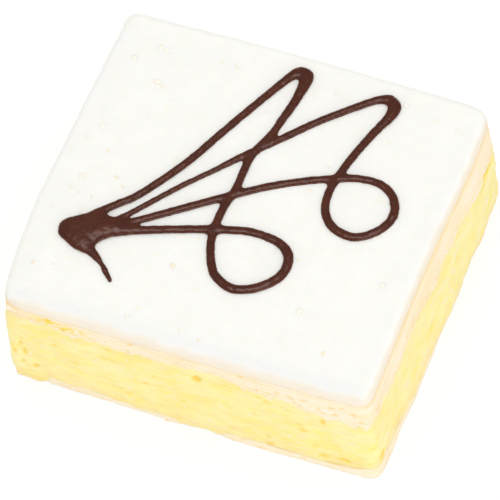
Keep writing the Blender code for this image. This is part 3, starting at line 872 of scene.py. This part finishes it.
def smooth_route(points):
    """A smooth curve through a stroke's points, with a width at each place on it."""
    marks = np.array(points)
    marks = np.vstack([marks[0] * 2 - marks[1], marks, marks[-1] * 2 - marks[-2]])
    route = []
    for a, b, c, d in zip(marks, marks[1:], marks[2:], marks[3:]):
        parts = max(2, round(np.hypot(*(c - b)[:2]) / STROKE_STEP))
        for t in np.arange(parts) / parts:
            route.append(b + (c - a) * t / 2 + (a * 2 - b * 5 + c * 4 - d) * t ** 2 / 2
                         + (b * 3 - a - c * 3 + d) * t ** 3 / 2)
    route = np.array(route + [marks[-2]])
    steps = np.hypot(*np.diff(route[:, :2], axis=0).T)
    along = np.concatenate(([0.0], np.cumsum(steps)))
    to_end = 0.1 + np.minimum(along, along[-1] - along) / (route[:, 2] / 2)
    route[:, 2] *= np.sqrt(1 - (1 - np.clip(to_end, 0, 1)) ** 2)
    return route


def soften(tree, mesh, turns, weight):
    """The mesh with its points drawn towards their neighbours, as often as the turns say."""
    here = add(tree, "GeometryNodeInputPosition")
    even = tree.nodes.new("GeometryNodeBlurAttribute")
    even.data_type = "FLOAT_VECTOR"
    feed(tree, [slot for slot in even.inputs if slot.enabled][0], here)
    even.inputs["Iterations"].default_value = turns
    feed(tree, even.inputs["Weight"], weight)
    blurred = Wire(tree, [slot for slot in even.outputs if slot.enabled][0])
    return add(tree, "GeometryNodeSetPosition", {}, {"Geometry": mesh, "Position": blurred})


def drizzle_tree(material):
    """Tubes along the strokes, pressed to low domes, melted into one body and smoothed."""
    sizes = ("Base", "Rise", "Sink", "Voxel", "Wobble")
    tree, path, size = grow_tree("piped line", sizes)
    curve = add(tree, "GeometryNodeMeshToCurve", {}, {"Mesh": path})
    half = add(tree, "GeometryNodeInputNamedAttribute", {"data_type": "FLOAT"}, {"Name": "half"})
    circle = add(tree, "GeometryNodeCurvePrimitiveCircle", {}, {"Resolution": 20, "Radius": 1.0})
    tube = add(tree, "GeometryNodeCurveToMesh", {},
               {"Curve": curve, "Profile Curve": circle, "Scale": half, "Fill Caps": True})
    here = add(tree, "GeometryNodeInputPosition")
    apart = [add(tree, "ShaderNodeSeparateXYZ", {}, {0: here}, title) for title in "XYZ"]
    above = apart[2] - size["Base"]
    # A dome rises almost as high as its half width, but never above the rise.
    over = above.combine("MAXIMUM", above, 0.0) * (1 / MM)
    dome = 1.0 - over.combine("POWER", math.e, over * -0.85)
    under = above.combine("MAXIMUM", above.combine("MINIMUM", above, 0.0), size["Sink"] * -1.0)
    level = size["Base"] + dome * size["Rise"] + under
    pressed = add(tree, "ShaderNodeCombineXYZ", {}, {"X": apart[0], "Y": apart[1], "Z": level})
    low = add(tree, "GeometryNodeSetPosition", {}, {"Geometry": tube, "Position": pressed})
    volume = add(tree, "GeometryNodeMeshToVolume", {"resolution_mode": "VOXEL_SIZE"},
                 {"Mesh": low, "Density": 1.0, "Voxel Size": size["Voxel"],
                  "Interior Band Width": 2.0 * MM})
    solid = add(tree, "GeometryNodeVolumeToMesh", {"resolution_mode": "VOXEL_SIZE"},
                {"Volume": volume, "Voxel Size": size["Voxel"], "Threshold": 0.1})
    near = tree.nodes.new("GeometryNodeSampleNearestSurface")
    tree.links.new(low.socket, near.inputs["Mesh"])
    tree.links.new(half.socket, near.inputs["Value"])
    broad = add(tree, "ShaderNodeMapRange", {"interpolation_type": "SMOOTHSTEP"},
                {"Value": Wire(tree, near.outputs["Value"]), "From Min": 0.9 * MM,
                 "From Max": 1.9 * MM})
    thread = soften(tree, solid, 7, 1.0)
    melted = soften(tree, thread, 60, broad)
    ripple = add(tree, "ShaderNodeTexNoise", {},
                 {"Vector": here, "Scale": 700.0, "Detail": 2.0}, "Color")
    ripple = add(tree, "ShaderNodeVectorMath", {"operation": "SUBTRACT"},
                 {0: ripple, 1: (0.5, 0.5, 0.5)})
    ripple = add(tree, "ShaderNodeVectorMath", {"operation": "SCALE"},
                 {0: ripple, "Scale": size["Wobble"]})
    melted = add(tree, "GeometryNodeSetPosition", {}, {"Geometry": melted, "Offset": ripple})
    close_tree(tree, melted, material)
    return tree


look = Finish("dark chocolate", Specular_IOR_Level=0.9, Specular_Tint=(1.0, 0.8, 0.74, 1.0))
tone = look.grain((3.0, 3.0, 3.0), 3.0, low=0.3, high=0.7)
film = look.grain((0.8, 0.8, 0.8), 3.0, shift=5.0)
colour = look.mix(tone, rgb(73, 30, 15), rgb(84, 37, 20))
look.finish(Base_Color=colour, Roughness=0.2 + film * 0.14,
            Normal=look.bump(film, 0.04, 0.3))

line_verts = []
line_edges = []
line_halves = []
DRIZZLE_BASE = ICING_TOP - 0.02
for points in STROKES:
    first = len(line_verts)
    for x, y, width in smooth_route(points):
        line_verts.append((x * MM, y * MM, DRIZZLE_BASE * MM))
        line_halves.append((width * SETTLED + RUN_OUT) / 2 * MM)
    line_edges += [(index, index + 1) for index in range(first, len(line_verts) - 1)]
line_mesh = bpy.data.meshes.new("piped route")
line_mesh.from_pydata(line_verts, line_edges, [])
halves = line_mesh.attributes.new("half", "FLOAT", "POINT")
halves.data.foreach_set("value", line_halves)
drizzle = grow("piped_chocolate", drizzle_tree(look.material), line_mesh,
               {"Base": DRIZZLE_BASE * MM, "Rise": 1.35 * MM, "Sink": 0.35 * MM,
                "Voxel": 0.17 * MM, "Wobble": 0.24 * MM})
drizzle.data.shade_smooth()
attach(drizzle, "root")
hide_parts("chocolate_drizzle")


# -------------------------------------------------------------------------------------- studio
# A white floor under even light from all round, with a small soft lamp overhead and a larger
# one low in front, and a long lens that looks down on the front right corner.

bpy.ops.mesh.primitive_circle_add(vertices=64, radius=3.0, fill_type="NGON")
floor = bpy.context.active_object
floor.name = "studio_floor"
PAPER = 0.9
GLOW = 1.1
GLOW_SHARE = 0.68
paper = bpy.data.materials.new("white paper floor")
paper.use_nodes = True
tree = paper.node_tree
shader = tree.nodes["Principled BSDF"]
shader.inputs["Base Color"].default_value = (PAPER, PAPER, PAPER, 1.0)
shader.inputs["Roughness"].default_value = 0.9
seen = add(tree, "ShaderNodeLightPath", output="Is Camera Ray")
glossy = add(tree, "ShaderNodeLightPath", output="Is Glossy Ray")
glow = add(tree, "ShaderNodeEmission", {}, {"Color": (1.0, 1.0, 1.0, 1.0), "Strength": GLOW})
share = (seen + glossy) * GLOW_SHARE
both = add(tree, "ShaderNodeMixShader", {}, {0: share, 1: Wire(tree, shader.outputs[0]), 2: glow})
tree.links.new(both.socket, tree.nodes["Material Output"].inputs["Surface"])
floor.data.materials.append(paper)

world = bpy.data.worlds.new("studio")
bpy.context.scene.world = world
world.use_nodes = True
tree = world.node_tree
WORLD_LEVEL = 0.88
LESS_MIRRORED = 0.7
seen = add(tree, "ShaderNodeLightPath", output="Is Camera Ray")
mirrored = add(tree, "ShaderNodeLightPath", output="Is Glossy Ray")
strength = seen * (1.0 - WORLD_LEVEL) + WORLD_LEVEL - mirrored * LESS_MIRRORED
sky = tree.nodes["Background"]
sky.inputs["Color"].default_value = (1.0, 1.0, 1.0, 1.0)
feed(tree, sky.inputs["Strength"], strength)


def soft_lamp(name, place, aim, size, power):
    """A square area lamp that faces its aim, in metres and watts."""
    lamp = bpy.data.lights.new(name, "AREA")
    lamp.size = size
    lamp.energy = power
    holder = bpy.data.objects.new(name, lamp)
    holder.location = place
    holder.rotation_euler = (Vector(aim) - Vector(place)).to_track_quat("-Z", "Y").to_euler()
    bpy.context.collection.objects.link(holder)


soft_lamp("top_softbox", (0.0, -0.02, 0.9), (0, 0, 0.02), 0.42, 1.1)
soft_lamp("front_softbox", (0.68, -0.72, 0.22), (0, 0, 0.015), 0.6, 2.3)

AZIMUTH, ELEVATION, ROLL = (math.radians(angle) for angle in (28.8, 59.8, -9.3))
DISTANCE = 1.6633
MIDDLE = Vector((0.87, 0.58, 14.15)) * MM
OFF_CENTRE = (-1.014 * MM, -1.657 * MM)
back = Vector((math.sin(AZIMUTH) * math.cos(ELEVATION),
               -math.cos(AZIMUTH) * math.cos(ELEVATION), math.sin(ELEVATION)))
right = Vector((math.cos(AZIMUTH), math.sin(AZIMUTH), 0.0))
up = back.cross(right)
turned_right = right * math.cos(ROLL) + up * math.sin(ROLL)
turned_up = up * math.cos(ROLL) - right * math.sin(ROLL)
lens = bpy.data.cameras.new("long_lens")
lens.lens = 600.0
lens.sensor_width = 36.0
lens.clip_start = 0.05
lens.clip_end = 20.0
camera = bpy.data.objects.new("long_lens", lens)
stand = MIDDLE + turned_right * OFF_CENTRE[0] + turned_up * OFF_CENTRE[1] + back * DISTANCE
camera.matrix_world = Matrix.Translation(stand) @ Matrix(
    (turned_right, turned_up, back)).transposed().to_4x4()
bpy.context.collection.objects.link(camera)
bpy.context.scene.camera = camera
bpy.context.scene.view_settings.view_transform = "Standard"
